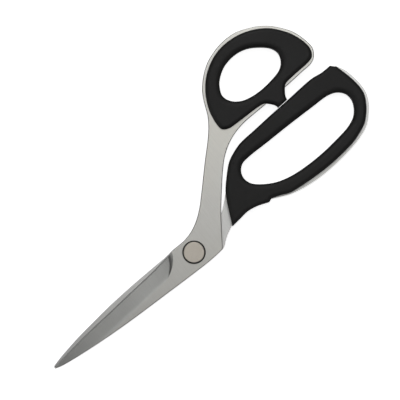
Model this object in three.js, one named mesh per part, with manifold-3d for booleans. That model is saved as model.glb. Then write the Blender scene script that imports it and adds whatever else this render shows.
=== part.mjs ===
// Tailor's shears for cutting cloth: two flat steel halves that slide on each other and turn about one
// screw pivot, each with a finger bow held in a moulded grip.
//
// Millimetres. The pivot axis is Z through the origin, the points of the blades lie towards -X, the bows
// towards +X with the thumb bow on the +Y side, and the closed shears rest on the plane Z = 0. The thumb
// half is the upper one.

import * as THREE from "three";
import { mergeVertices } from "three/addons/utils/BufferGeometryUtils.js";
import Module from "manifold-3d";

const wasm = await Module();
wasm.setup();

// ---------------------------------------------------------------- driving dimensions

const STEEL_THICKNESS = 3.2;
const RIDE_HEIGHT = 5.5; // the plane on which the two halves slide
const RUNNING_PLAY = 0.1; // between faces and bores that slide on each other
const SEAT_PLAY = 0.02; // between faces that are clamped together
const STEEL_EDGE_ROUND = 0.45;
const STEEL_REACH = 130; // no steel lies further than this from the pivot

const GRIP_HEIGHT = 11;
const GRIP_EDGE_ROUND = 1.6;
const GRIP_GROOVE_PLAY = 0.12; // between the moulding and the steel it is moulded around
const GRIP_INNER_WALL = 2.8; // moulding between the finger opening and the steel bow

const EDGE_LAND = 0.15; // thickness left at the very cutting edge
const EDGE_BEVEL_WIDTH = 0.7;
const EDGE_BEVEL_RISE = 0.7;
const BLADE_BEVEL_SLOPE = 0.36; // main bevel, rise over width
const BLADE_BEVEL_BLEND = 1.0; // half the width over which the bevel turns into the flat
const RUN_OUT_X = -8.8; // where the side of the grinding wheel crosses the cutting edge
const RUN_OUT_CURVE = 0.076; // and how far that line sweeps back, over the square of the distance from it
const WHEEL_CORNER_ROUND = 3.2;

const HEAD_RADIUS = 5.1;
const HEAD_THICKNESS = 1.6;
const HEAD_CHAMFER = 0.3;
const HEAD_WASHER_RADIUS = 5.75;
const HEAD_WASHER_THICKNESS = 0.5;
const SCREW_RADIUS = 2.4;
const SCREW_HOLE_RADIUS = 2.5;
const JOURNAL_RADIUS = 3.9; // sleeve of the nut, on which the finger half turns
const JOURNAL_FLAT = 3.2; // distance of the two flats that key the sleeve to the thumb half
const NUT_RADIUS = 6.2;
const NUT_THICKNESS = 1.4;
const NUT_CHAMFER = 0.25;
const NUT_FLOOR = 0.7; // metal left under the blind thread
const SCREW_END_GAP = 0.4; // between the end of the screw and that floor
const SCREW_END_CHAMFER = 0.5;
const SPANNER_HOLE_RADIUS = 0.7;
const SPANNER_HOLE_DEPTH = 0.9;
const SPANNER_HOLE_PLACE = 4.1;
const SPRING_WASHER_RADIUS = 5.8;
const SPRING_WASHER_THICKNESS = 0.4;

const MAX_TURN = THREE.MathUtils.degToRad(6); // between neighbouring edges of a curved outline
const MAX_STEP = 6; // longest edge of a curved outline
const MIN_STEP = 0.6; // shortest edge of a curved outline
const FINE_STEP = 0.2; // spacing at which the curves are walked
const ROUND_SEGMENTS = 56; // edges of a full circle
const OVERCUT = 1; // how far a cutting body reaches past the face it opens

// The surface that the wheel leaves, as a grid: distances from the edge, distances from the wheel's side,
// and how many columns cover the rest of the blade.
const GRIND_ROWS = [-3, 0, EDGE_BEVEL_WIDTH, 1.4, 2.6, 3.8, 5, 5.8, 6.5, 7.2, 7.9, 8.6];
const GRIND_CORNER_COLUMNS = [-0.3, 0, 0.1, 0.3, 0.6, 1, 1.5, 2.1, 2.7, WHEEL_CORNER_ROUND];
const GRIND_BLADE_COLUMNS = 26;
const GRIND_FROM = -92;
const GRIND_CLEAR = 5.2; // the most that the surface rises above the ride face
const GRIND_SKIN = 0.02; // keeps the untouched part of the grid just clear of the flat face

// heights that follow from them
const THUMB_BOTTOM = RIDE_HEIGHT + RUNNING_PLAY / 2;
const THUMB_TOP = THUMB_BOTTOM + STEEL_THICKNESS;
const FINGER_TOP = RIDE_HEIGHT - RUNNING_PLAY / 2;
const FINGER_BOTTOM = FINGER_TOP - STEEL_THICKNESS;

// ---------------------------------------------------------------- outlines, as runs between corners

// Thumb half, counterclockwise from the heel behind the pivot: up the shank, round the bow, down the
// other side of the shank, past the pivot and along the cutting edge to the point.
const HEEL = [12.3, -7.1];
const THUMB_POINT = [[-88.7, -4.9], [-88.5, -5.8]]; // the points are a little blunt
const CHOIL = [-8.7, 6.9];
const THUMB_SHANK_AND_BOW = [
  HEEL, [17.1, 0.3], [22.4, 8], [30, 17.7], [35.6, 24.4], [40, 28.9], [45.3, 32.6], [51.2, 35.2],
  [58, 36.7], [70, 37.5], [84, 38.7], [95, 39.9], [101, 40.6], [104.1, 42.5], [106, 46.3], [105.5, 51],
  [103.3, 57.6], [100.1, 62.4], [95.3, 67.5], [90.3, 70.9], [85, 73.2], [80, 74.7], [75, 75], [69.9, 74.4],
  [64.9, 73], [59.8, 70.7], [54.7, 66.8], [50, 61.4], [47.1, 55.7], [44.7, 49.6], [40.3, 43.1], [30.2, 32.3],
  [19.9, 21.1], [14.9, 15.9], [10, 11.9], [5, 9.1], [0, 7.6], CHOIL,
];
const THUMB_CUTTING_EDGE = [
  CHOIL, [-14, 5.7], [-22, 4.3], [-36, 2.6], [-52, 0.6], [-66, -1.1], [-78, -3], [-85, -4.3],
  THUMB_POINT[0],
];
const THUMB_SPINE = [
  THUMB_POINT[1], [-85.2, -6.6], [-80, -7.2], [-70, -7.95], [-58, -8.5], [-45, -8.75], [-25, -8.6],
  [-5, -8.35], [5, -8], HEEL,
];

// Finger half, counterclockwise from its point: cutting edge, lower side of the shank, round the bow and
// back over the pivot along the spine.
const FINGER_POINT = [[-88.5, -4.4], [-88.2, -5.5]];
const FINGER_CHOIL = [-8.7, -7.1];
const BOW_CORNER = [110, 32.6];
const FINGER_CUTTING_EDGE = [
  FINGER_POINT[1], [-84, -5.9], [-76, -6.3], [-62, -6.6], [-45, -6.5], [-28, -6.5], [-16, -6.8], FINGER_CHOIL,
];
const FINGER_SHANK_AND_BOW = [
  FINGER_CHOIL, [-3, -7.4], [5, -7.5], [10, -7.4], [13.1, -6.9], [17.5, -3.5], [22.2, -0.8], [26, 1],
  [31, 2], [37, 1.7], [42, 0.2], [47, -1.8], [50, -3.2], [55, -5.1], [60, -6.2], [67, -6.9], [75, -6.9],
  [85, -5.9], [95, -4], [101, -2.1], [105.5, 0.2], [109.6, 4.3], [112.4, 8.1], [114.2, 12.4],
  [114.7, 16.5], [113.8, 23.7], [112.4, 28.6], BOW_CORNER,
];
const FINGER_BOW_TOP = [
  BOW_CORNER, [104, 32.2], [95, 32.8], [82, 31.4], [66, 29.8], [56, 28.8], [50.5, 28.1], [45.6, 26.8],
  [40.9, 23.9], [36, 19.7], [30, 14.6], [25, 9.8], [22.4, 7.7], [19, 6.1], [14, 5.7], [8, 6.5], [0, 6.9],
  [-10, 6.5], [-20, 5.8], [-30, 5.1], [-40, 4.2], [-50, 3.1], [-60, 1.6], [-70, 0], [-80, -2.1],
  [-85, -3.35], FINGER_POINT[0],
];

// Mouldings, counterclockwise.
const BUMPER_LEFT = [75.2, 32.6];
const BUMPER_RIGHT = [80.9, 33.2];
const THUMB_GRIP_RING = [
  BUMPER_RIGHT, [81.3, 35], [82.8, 37.6], [84.8, 39.8], [88, 40.6], [95, 41.3], [100, 41.8], [103.2, 43.1],
  [104.8, 46.6], [104.4, 51], [102.4, 56.4], [99.9, 60.6], [95.1, 66.1], [90.1, 69.5], [84.9, 71.7],
  [80, 72.9], [75, 73.3], [69.9, 72.9], [64.9, 71.5], [60, 69], [55, 65.1], [50.3, 59], [47.7, 53.4],
  [46.6, 49.5], [46, 43.3], [46.7, 40.3], [49.6, 38.7], [55, 38.5], [68.5, 38.6], [71.2, 38], [73.5, 36],
  [74.9, 34.1], BUMPER_LEFT,
];
const GRIP_NOSE = [22.7, -1];
const LOWER_WRAP_END = [44.2, -2.1];
const LOWER_RIM_START = [46.2, -1.2];
const UPPER_RIM_END = [110, 31.8];
const UPPER_WRAP_END = [107.6, 34.2];
const FINGER_GRIP_UNDER_WRAP = [GRIP_NOSE, [27.4, -0.3], [32.9, 0.5], [38, -0.1], LOWER_WRAP_END];
const FINGER_GRIP_RIM = [
  LOWER_RIM_START, [50.1, -2.4], [55.2, -4.4], [60, -4.9], [67, -5.2], [75, -5.2], [85, -4.4], [95, -2.7],
  [100.5, -0.7], [105, 1.7], [108.4, 5.1], [111, 8.8], [112.9, 12.8], [113.3, 16.5], [112.5, 23],
  UPPER_RIM_END,
];
const FINGER_GRIP_TOP = [
  UPPER_WRAP_END, [102.4, 33.9], [97, 34.4], [90, 33.9], [80, 32.8], [70, 31.9], [60, 30.8], [50, 29.7],
  [45.1, 28.1], [40.1, 25.5], [35, 20.6], [30, 14.7], [26.4, 7.6], GRIP_NOSE,
];

// Finger openings, closed smooth loops.
const THUMB_OPENING = [
  [56.5, 53.3], [57.6, 57], [60, 60.4], [65, 64.1], [70, 65.7], [75, 66], [80, 64.9], [85, 62.1],
  [89.3, 58.3], [90.9, 54.5], [89.9, 50.6], [86.9, 47.5], [80, 45.4], [70, 44.5], [62.4, 46], [58.1, 49.3],
];
const FINGER_OPENING = [
  [41.1, 14.7], [42, 18.2], [44.7, 20.8], [49, 21.7], [60, 22.1], [75, 22.7], [90, 23], [98.5, 23],
  [103, 21.5], [105.9, 18.3], [106.5, 14.6], [105.2, 10.8], [102.2, 7.2], [97.2, 4.8], [90, 3.3],
  [80, 1.9], [70, 1.4], [60, 2], [52.4, 4], [45.5, 7.9], [42.3, 11],
];

// ---------------------------------------------------------------- curves

// Walks a smooth curve through the points and keeps a vertex where it has turned enough or run far enough.
function smoothRun(points, closed = false) {
  const knots = points.map(([x, y]) => new THREE.Vector3(x, y, 0));
  const curve = new THREE.CatmullRomCurve3(knots, closed, "centripetal");
  curve.arcLengthDivisions = 2000;
  const fine = curve.getSpacedPoints(Math.ceil(curve.getLength() / FINE_STEP));
  const kept = [fine[0]];
  let turned = 0;
  for (let i = 1; i < fine.length - 1; i++) {
    const before = fine[i].clone().sub(fine[i - 1]);
    const after = fine[i + 1].clone().sub(fine[i]);
    turned += before.angleTo(after);
    const step = fine[i].distanceTo(kept[kept.length - 1]);
    const left = fine[i].distanceTo(fine[fine.length - 1]);
    if ((turned > MAX_TURN || step > MAX_STEP) && step > MIN_STEP && left > MIN_STEP) {
      kept.push(fine[i]);
      turned = 0;
    }
  }
  if (!closed) kept.push(fine[fine.length - 1]);
  return kept.map((p) => new THREE.Vector2(p.x, p.y));
}

// Joins runs that share their end points into one closed outline.
function closedOutline(...runs) {
  return runs.flatMap((points) => smoothRun(points).slice(0, -1));
}

// Moves each vertex of a counterclockwise outline outwards (or inwards, for a negative distance).
function offsetOutline(outline, distance) {
  const count = outline.length;
  return outline.map((point, i) => {
    const before = point.clone().sub(outline[(i + count - 1) % count]).normalize();
    const after = outline[(i + 1) % count].clone().sub(point).normalize();
    const normal = new THREE.Vector2(before.y + after.y, -before.x - after.x).normalize();
    const mitre = Math.max(0.5, normal.x * after.y - normal.y * after.x);
    return point.clone().addScaledVector(normal, distance / mitre);
  });
}

// Height of a run above the X axis, where x only rises or only falls along it.
function heightAlong(outlineRun, x) {
  const last = outlineRun.length - 2;
  const rising = outlineRun[0].x < outlineRun[last + 1].x;
  let i = outlineRun.findIndex((p, at) => at > 0 && (rising ? p.x >= x : p.x <= x)) - 1;
  if (i < 0) i = (x > outlineRun[0].x) === rising ? last : 0;
  const [a, b] = [outlineRun[i], outlineRun[i + 1]];
  return a.y + ((b.y - a.y) * (x - a.x)) / (b.x - a.x);
}

// ---------------------------------------------------------------- solids

function toSolid(geometry) {
  const bare = geometry.clone();
  bare.deleteAttribute("normal");
  bare.deleteAttribute("uv");
  const merged = mergeVertices(bare, 1e-4);
  return new wasm.Manifold(
    new wasm.Mesh({
      numProp: 3,
      vertProperties: merged.attributes.position.array,
      triVerts: new Uint32Array(merged.index.array),
    }),
  );
}

function toGeometry(solid) {
  const { vertProperties, triVerts } = solid.getMesh();
  const geometry = new THREE.BufferGeometry();
  geometry.setAttribute("position", new THREE.BufferAttribute(vertProperties, 3));
  geometry.setIndex(new THREE.BufferAttribute(triVerts, 1));
  return geometry;
}

// A flat plate from z = bottom to z = top. Its edges are rounded by edgeRound, at both faces.
function plate(outline, holes, bottom, top, edgeRound = 0, edgeSegments = 2) {
  const shape = new THREE.Shape(outline);
  shape.holes = holes.map((hole) => new THREE.Path(hole));
  const geometry = new THREE.ExtrudeGeometry(shape, {
    depth: top - bottom - 2 * edgeRound,
    bevelEnabled: edgeRound > 0,
    bevelThickness: edgeRound,
    bevelSize: edgeRound,
    bevelOffset: -edgeRound,
    bevelSegments: edgeSegments,
  });
  geometry.translate(0, 0, bottom + edgeRound);
  return toSolid(geometry);
}

// A body of revolution about Z from [radius, height] pairs that start and end on the axis or close.
function turned(profile) {
  const points = profile.map(([r, z]) => new THREE.Vector2(r, z));
  const geometry = new THREE.LatheGeometry(points, ROUND_SEGMENTS);
  geometry.rotateX(Math.PI / 2);
  return toSolid(geometry);
}

function cylinder(radius, bottom, top, x = 0, y = 0) {
  const geometry = new THREE.CylinderGeometry(radius, radius, top - bottom, ROUND_SEGMENTS);
  geometry.rotateX(Math.PI / 2);
  geometry.translate(x, y, (top + bottom) / 2);
  return toSolid(geometry);
}

function block([x0, y0, z0], [x1, y1, z1]) {
  const geometry = new THREE.BoxGeometry(x1 - x0, y1 - y0, z1 - z0);
  geometry.translate((x0 + x1) / 2, (y0 + y1) / 2, (z0 + z1) / 2);
  return toSolid(geometry);
}

// A round pin about Z with two flats, as wide as twice flat across them.
function flattedPin(radius, flat, bottom, top) {
  const between = block([-radius - OVERCUT, -flat, bottom], [radius + OVERCUT, flat, top]);
  return cylinder(radius, bottom, top).intersect(between);
}

// ---------------------------------------------------------------- blades

// Metal left above the ride face at a distance from the cutting edge, once the blade has been ground.
function groundHeight(fromEdge) {
  const bevelStart = EDGE_LAND + EDGE_BEVEL_RISE;
  if (fromEdge < EDGE_BEVEL_WIDTH) {
    return EDGE_LAND + (EDGE_BEVEL_RISE * Math.max(fromEdge, 0)) / EDGE_BEVEL_WIDTH;
  }
  const bevelWidth = (STEEL_THICKNESS - bevelStart) / BLADE_BEVEL_SLOPE;
  const short = EDGE_BEVEL_WIDTH + bevelWidth - fromEdge; // distance to where bevel and flat would meet
  if (short > BLADE_BEVEL_BLEND) return STEEL_THICKNESS - BLADE_BEVEL_SLOPE * short;
  const blend = Math.max(short + BLADE_BEVEL_BLEND, 0);
  return STEEL_THICKNESS - (BLADE_BEVEL_SLOPE * blend ** 2) / (4 * BLADE_BEVEL_BLEND);
}

// Extra height left by the rounded corner of the wheel, at a distance from the wheel's side.
function cornerHeight(fromSide) {
  if (fromSide < 0) return GRIND_CLEAR;
  const inward = Math.max(WHEEL_CORNER_ROUND - fromSide, 0);
  return WHEEL_CORNER_ROUND - Math.sqrt(WHEEL_CORNER_ROUND ** 2 - inward ** 2);
}

// Where along the blade a place lies that is at a distance from the wheel's side.
function besideWheel(fromEdge, fromSide) {
  const sweep = Math.hypot(1, 2 * RUN_OUT_CURVE * fromEdge);
  return RUN_OUT_X - RUN_OUT_CURVE * fromEdge ** 2 - fromSide * sweep;
}

// What the grinding takes away: a fine grid bent to the ground surface, closed well above the blade.
// side is 1 for the thumb half, ground from above at its +Y edge, and -1 for the finger half.
function grinding(cuttingEdge, rideFace, side) {
  const rows = GRIND_ROWS.length - 1;
  const columns = GRIND_BLADE_COLUMNS + GRIND_CORNER_COLUMNS.length - 1;
  const grid = new THREE.BoxGeometry(1, 1, 1, columns, rows, 1);
  const position = grid.attributes.position;
  for (let i = 0; i < position.count; i++) {
    const column = columns - Math.round((position.getX(i) + 0.5) * columns);
    const fromEdge = GRIND_ROWS[Math.round((0.5 - position.getY(i)) * rows)];
    const inCorner = column < GRIND_CORNER_COLUMNS.length;
    const fromSide = inCorner ? GRIND_CORNER_COLUMNS[column] : WHEEL_CORNER_ROUND;
    const start = besideWheel(fromEdge, fromSide);
    const share = inCorner ? 0 : (column - GRIND_CORNER_COLUMNS.length + 1) / GRIND_BLADE_COLUMNS;
    const x = start + (GRIND_FROM - start) * share;
    const ground = Math.min(groundHeight(fromEdge) + cornerHeight(fromSide) + GRIND_SKIN, GRIND_CLEAR);
    const height = position.getZ(i) > 0 ? 2 * GRIND_CLEAR : ground;
    position.setXYZ(i, x, heightAlong(cuttingEdge, x) - side * fromEdge, rideFace + side * height);
  }
  return toSolid(grid);
}

// Steel with rounded edges on its outer face only: its inner face is ground flat, with sharp edges.
function steelPlate(outline, opening, rideFace, side) {
  const outer = rideFace + side * STEEL_THICKNESS;
  const inner = rideFace - side * 2 * STEEL_EDGE_ROUND;
  const whole = plate(
    outline, [opening], Math.min(outer, inner), Math.max(outer, inner), STEEL_EDGE_ROUND,
  );
  const beyond = rideFace - side * 2 * STEEL_THICKNESS;
  const spare = block(
    [-STEEL_REACH, -STEEL_REACH, Math.min(beyond, rideFace)],
    [STEEL_REACH, STEEL_REACH, Math.max(beyond, rideFace)],
  );
  return whole.subtract(spare);
}

const thumbEdge = smoothRun(THUMB_CUTTING_EDGE);
const fingerEdge = smoothRun(FINGER_CUTTING_EDGE);
const thumbSteelOutline = closedOutline(
  THUMB_SHANK_AND_BOW, THUMB_CUTTING_EDGE, THUMB_POINT, THUMB_SPINE,
);
const fingerSteelOutline = closedOutline(
  FINGER_CUTTING_EDGE, FINGER_SHANK_AND_BOW, FINGER_BOW_TOP, FINGER_POINT,
);
const thumbOpening = smoothRun(THUMB_OPENING, true).reverse();
const fingerOpening = smoothRun(FINGER_OPENING, true).reverse();
const thumbSteelOpening = offsetOutline(thumbOpening, GRIP_INNER_WALL);
const fingerSteelOpening = offsetOutline(fingerOpening, GRIP_INNER_WALL);

function makeThumbBlade() {
  const steel = steelPlate(thumbSteelOutline, thumbSteelOpening, THUMB_BOTTOM, 1);
  const keyway = flattedPin(
    JOURNAL_RADIUS + RUNNING_PLAY / 2, JOURNAL_FLAT + RUNNING_PLAY / 2, THUMB_BOTTOM - OVERCUT,
    THUMB_TOP + OVERCUT,
  );
  return steel.subtract(grinding(thumbEdge, THUMB_BOTTOM, 1)).subtract(keyway);
}

function makeFingerBlade() {
  const steel = steelPlate(fingerSteelOutline, fingerSteelOpening, FINGER_TOP, -1);
  const bore = cylinder(JOURNAL_RADIUS + RUNNING_PLAY / 2, FINGER_BOTTOM - OVERCUT, FINGER_TOP + OVERCUT);
  return steel.subtract(grinding(fingerEdge, FINGER_TOP, -1)).subtract(bore);
}

// ---------------------------------------------------------------- grips

// The room that the steel takes up in its moulding.
function steelGroove(outline, opening, bottom, top) {
  return plate(
    offsetOutline(outline, GRIP_GROOVE_PLAY),
    [offsetOutline(opening, -GRIP_GROOVE_PLAY)],
    bottom - GRIP_GROOVE_PLAY,
    top + GRIP_GROOVE_PLAY,
  );
}

function makeThumbGrip() {
  const outline = closedOutline(THUMB_GRIP_RING, [BUMPER_LEFT, BUMPER_RIGHT]);
  const moulding = plate(outline, [thumbOpening], 0, GRIP_HEIGHT, GRIP_EDGE_ROUND, 3);
  return moulding.subtract(
    steelGroove(thumbSteelOutline, thumbSteelOpening, THUMB_BOTTOM, THUMB_TOP),
  );
}

function makeFingerGrip() {
  const outline = closedOutline(
    FINGER_GRIP_UNDER_WRAP, [LOWER_WRAP_END, LOWER_RIM_START], FINGER_GRIP_RIM,
    [UPPER_RIM_END, UPPER_WRAP_END], FINGER_GRIP_TOP,
  );
  const moulding = plate(outline, [fingerOpening], 0, GRIP_HEIGHT, GRIP_EDGE_ROUND, 3);
  return moulding.subtract(
    steelGroove(fingerSteelOutline, fingerSteelOpening, FINGER_BOTTOM, FINGER_TOP),
  );
}

// ---------------------------------------------------------------- pivot

function makeHeadWasher() {
  const bottom = THUMB_TOP + SEAT_PLAY;
  const top = bottom + HEAD_WASHER_THICKNESS;
  const hole = cylinder(SCREW_HOLE_RADIUS, bottom - OVERCUT, top + OVERCUT);
  return cylinder(HEAD_WASHER_RADIUS, bottom, top).subtract(hole);
}

function makePivotScrew() {
  const underHead = THUMB_TOP + HEAD_WASHER_THICKNESS + 2 * SEAT_PLAY;
  const top = underHead + HEAD_THICKNESS;
  const end = NUT_FLOOR + SCREW_END_GAP;
  return turned([
    [0, end],
    [SCREW_RADIUS - SCREW_END_CHAMFER, end],
    [SCREW_RADIUS, end + SCREW_END_CHAMFER],
    [SCREW_RADIUS, underHead],
    [HEAD_RADIUS, underHead],
    [HEAD_RADIUS, top - HEAD_CHAMFER],
    [HEAD_RADIUS - HEAD_CHAMFER, top],
    [0, top],
  ]);
}

function makePivotNut() {
  const flange = turned([
    [0, 0],
    [NUT_RADIUS - NUT_CHAMFER, 0],
    [NUT_RADIUS, NUT_CHAMFER],
    [NUT_RADIUS, NUT_THICKNESS],
    [0, NUT_THICKNESS],
  ]);
  const journal = cylinder(JOURNAL_RADIUS, NUT_THICKNESS / 2, THUMB_BOTTOM);
  const key = flattedPin(JOURNAL_RADIUS, JOURNAL_FLAT, NUT_THICKNESS, THUMB_TOP - RUNNING_PLAY);
  let nut = flange.add(journal).add(key);
  nut = nut.subtract(cylinder(SCREW_HOLE_RADIUS, NUT_FLOOR, THUMB_TOP + OVERCUT));
  for (const side of [-1, 1]) {
    const x = side * SPANNER_HOLE_PLACE;
    nut = nut.subtract(cylinder(SPANNER_HOLE_RADIUS, -OVERCUT, SPANNER_HOLE_DEPTH, x, 0));
  }
  return nut;
}

// A dished ring that keeps the halves pressed together.
function makeSpringWasher() {
  const bottom = NUT_THICKNESS + SEAT_PLAY;
  const top = FINGER_BOTTOM - RUNNING_PLAY / 2;
  const inner = JOURNAL_RADIUS + RUNNING_PLAY;
  return turned([
    [inner, top - SPRING_WASHER_THICKNESS],
    [SPRING_WASHER_RADIUS, bottom],
    [SPRING_WASHER_RADIUS, bottom + SPRING_WASHER_THICKNESS],
    [inner, top],
    [inner, top - SPRING_WASHER_THICKNESS],
  ]);
}

// ---------------------------------------------------------------- assembly

function steelMaterial(color, roughness) {
  return new THREE.MeshStandardMaterial({ color, roughness, metalness: 1, flatShading: true });
}

function mouldedMaterial(color, roughness) {
  return new THREE.MeshStandardMaterial({ color, roughness, metalness: 0, flatShading: true });
}

const satinSteel = steelMaterial(0xb9b7b1, 0.36);
const screwSteel = steelMaterial(0xb3aa9c, 0.3);
const springSteel = steelMaterial(0x8f8f8c, 0.4);
const elastomer = mouldedMaterial(0x262523, 0.65);
const nylon = mouldedMaterial(0x1b1b1a, 0.5);

function piece(name, solid, material) {
  const mesh = new THREE.Mesh(toGeometry(solid), material);
  mesh.name = name;
  return mesh;
}

const thumbHalf = new THREE.Group();
thumbHalf.add(
  piece("thumb_blade", makeThumbBlade(), satinSteel),
  piece("thumb_grip", makeThumbGrip(), elastomer),
  piece("pivot_screw", makePivotScrew(), screwSteel),
  piece("head_washer", makeHeadWasher(), nylon),
  piece("spring_washer", makeSpringWasher(), springSteel),
  piece("pivot_nut", makePivotNut(), screwSteel),
);

const fingerHalf = new THREE.Group();
fingerHalf.add(
  piece("finger_blade", makeFingerBlade(), satinSteel),
  piece("finger_grip", makeFingerGrip(), elastomer),
);

const shears = new THREE.Group();
shears.add(thumbHalf, fingerHalf);

export default shears;
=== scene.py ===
"""Tailor's shears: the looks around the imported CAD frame.

Two satin steel halves, ground to a cutting edge, turn on a screw pivot. Each one ends in a bow that is
held in a black elastomer moulding. Lengths are in millimetres until a mesh is made, and in metres in
every Blender object. X runs from the points to the bows, and the shears lie on the plane Z = 0.
"""

import math

import bmesh
import bpy
import numpy as np
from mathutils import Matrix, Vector
from mathutils.geometry import delaunay_2d_cdt


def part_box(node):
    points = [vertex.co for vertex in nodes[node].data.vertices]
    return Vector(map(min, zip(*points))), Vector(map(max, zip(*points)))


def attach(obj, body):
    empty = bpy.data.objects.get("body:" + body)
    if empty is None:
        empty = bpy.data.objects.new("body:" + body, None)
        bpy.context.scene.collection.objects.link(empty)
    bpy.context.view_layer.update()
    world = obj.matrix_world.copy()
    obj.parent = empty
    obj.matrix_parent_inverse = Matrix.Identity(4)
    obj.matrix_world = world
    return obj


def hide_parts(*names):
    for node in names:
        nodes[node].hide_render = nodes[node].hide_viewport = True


MM = 0.001

# ---------------------------------------------------------------- driving dimensions, in millimetres

STEEL_EDGE_ROUND = 0.45
CHOIL_X = -8.7  # where the cutting edges start
EDGE_LAND = 0.15  # thickness left at the very cutting edge
EDGE_BEVEL_WIDTH = 0.7
EDGE_BEVEL_RISE = 0.7
BLADE_BEVEL_SLOPE = 0.36  # main bevel, rise over width
BLADE_BEVEL_BLEND = 1.0  # half the width over which the bevel turns into the flat
RUN_OUT_X = -8.8  # where the side of the grinding wheel crosses the cutting edge
RUN_OUT_CURVE = 0.076  # and how far that line sweeps back, over the square of the distance from it
WHEEL_CORNER_ROUND = 3.2

GRIP_CAD_ROUND = 1.6  # height of the rounded edge on the CAD mouldings
GRIP_OUTER_ROUND = (2.0, 1.6)  # width and height of the rounding along the outside
GRIP_INNER_ROUND = (3.0, 1.6)  # and along the finger opening

HEAD_RADIUS = 5.1
HEAD_THICKNESS = 1.6
HEAD_ROUND = 0.3
SCREW_RADIUS = 2.4
SCREW_END_CHAMFER = 0.5
SCREW_HOLE_RADIUS = 2.5
JOURNAL_RADIUS = 3.9
JOURNAL_FLAT = 3.2  # distance of the flats on the key above the journal
NUT_THICKNESS = 1.4
NUT_ROUND = 0.3
NUT_FLOOR = 0.7
NUT_FACE_MARGIN = 0.2  # flat metal inside the flange's rounding
SPANNER_HOLE_RADIUS = 0.7
SPANNER_HOLE_DEPTH = 0.9
SPANNER_HOLE_PLACE = 4.1
SPRING_WASHER_THICKNESS = 0.4
SPRING_WASHER_PLAY = 0.1  # between its bore and the sleeve
WASHER_ROUND = 0.12

# ---------------------------------------------------------------- meshing

# Lengths are in millimetres here too, except SAME_PLACE.

TURNED_SEGMENTS = 96
ROUND_STEPS = 4
KEY_ARC_POINTS = 25  # on each rounded side of the key above the journal
TOLERANCE = 1e-6
TRIANGLE_TOLERANCE = 1e-5
NO_LENGTH = 1e-9  # stands in for a length of zero
SAME_PLACE = 1e-7  # in metres: closer vertices are one
LEVEL_TOLERANCE = 3  # in units of SAME_PLACE
LEVEL_NORMAL = 0.999  # Z of a face's normal above which it is flat
OUTLINE_STEP = 0.7
GRIP_OUTLINE_STEP = 0.6
CORNER = math.radians(24)  # a sharper turn than this is a corner of an outline
MITRE_LIMIT = 0.5  # an inset corner moves at most twice the distance of its sides
CHUNK = 4000  # points that are compared with an outline at a time
NORMAL_INSET = 0.04  # a face corner's normal is taken this share of the way to the face's middle
STEEPEST = 0.9999  # share of a rounding at which its slope is cut off

FLAT_GRID = 3.0
BOW_AREA = 200  # in square millimetres: a larger hole in the steel is a bow
POINT_SEARCH = 20  # outline points within which both corners of the blunt point lie
STEEL_ROUND_ANGLES = (30, 60, 90)  # degrees round the steel's edge at which it has a ring of vertices
STEEL_RING_BEYOND = 0.4  # and one more ring this far past the rounding
STEEL_RING_REACH = 0.97  # rings are dropped where the boundary is nearer than this share of their distance
HONED_MARGIN = 0.3  # rings stop this far from the honed edge
HONED_FROM_POINT = 1.5  # its border starts this far from the point
HONED_TO_CHOIL = 0.3  # and ends this far before the choil
BEVEL_COLUMN_STEP = 1.5
BEVEL_FROM_X = -87
BEVEL_ROW_GAP = 0.3  # between the end of a row and the wheel's corner
BEVEL_ROWS = (0.22, 1, 2, 3, 4, 5, 5.7, 6.2, 6.6, 7, 7.4, 7.8, 8.2, 8.6)  # distances from the cutting edge
RUN_OUT_ROWS = np.concatenate([np.linspace(0.1, 6, 20), np.linspace(6.2, 8.1, 12)])
WHEEL_CORNER_LINES = (0.16, 0.3, 0.5, 0.75, 1.05, 1.4, 1.8, 2.2, 2.7, WHEEL_CORNER_ROUND)  # from its side
RUN_OUT_GAP = 0.06  # between the crease and the first line below it
LOOSE_GAP = 0.8  # loose vertices keep this far from a rounding
BEVEL_LOOSE_GAP = 0.6  # the same on the bevel
BEVEL_EDGE_GAP = 0.15  # and this far from the cutting edge
GROUND_DEPTH = 0.01  # metal taken off before a face counts as bevel

GRIP_GRID = 1.2
GRIP_ROUND_ANGLES = (18, 34, 48, 62, 76, 90)
GRIP_RING_BEYOND = 0.5
GRIP_RING_REACH = 0.985
GRIP_LOOSE_GAP = 0.9

# Order of a steel half's materials.
FLAT_FINISH, RIDE_FINISH, BEVEL_FINISH, HONED_FINISH_AND_HIGHLIGHT = range(4)

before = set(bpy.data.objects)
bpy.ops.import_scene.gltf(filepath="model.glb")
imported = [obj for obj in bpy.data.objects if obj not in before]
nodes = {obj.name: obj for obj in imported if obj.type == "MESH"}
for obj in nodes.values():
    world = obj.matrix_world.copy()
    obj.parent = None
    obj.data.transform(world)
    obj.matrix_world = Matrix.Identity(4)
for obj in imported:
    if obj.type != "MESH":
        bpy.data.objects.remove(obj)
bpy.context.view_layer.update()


# ---------------------------------------------------------------- outlines from the frame

def node_box(node):
    """Lowest and highest corner of a CAD node, in millimetres."""
    low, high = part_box(node)
    return np.array(low) / MM, np.array(high) / MM


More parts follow.
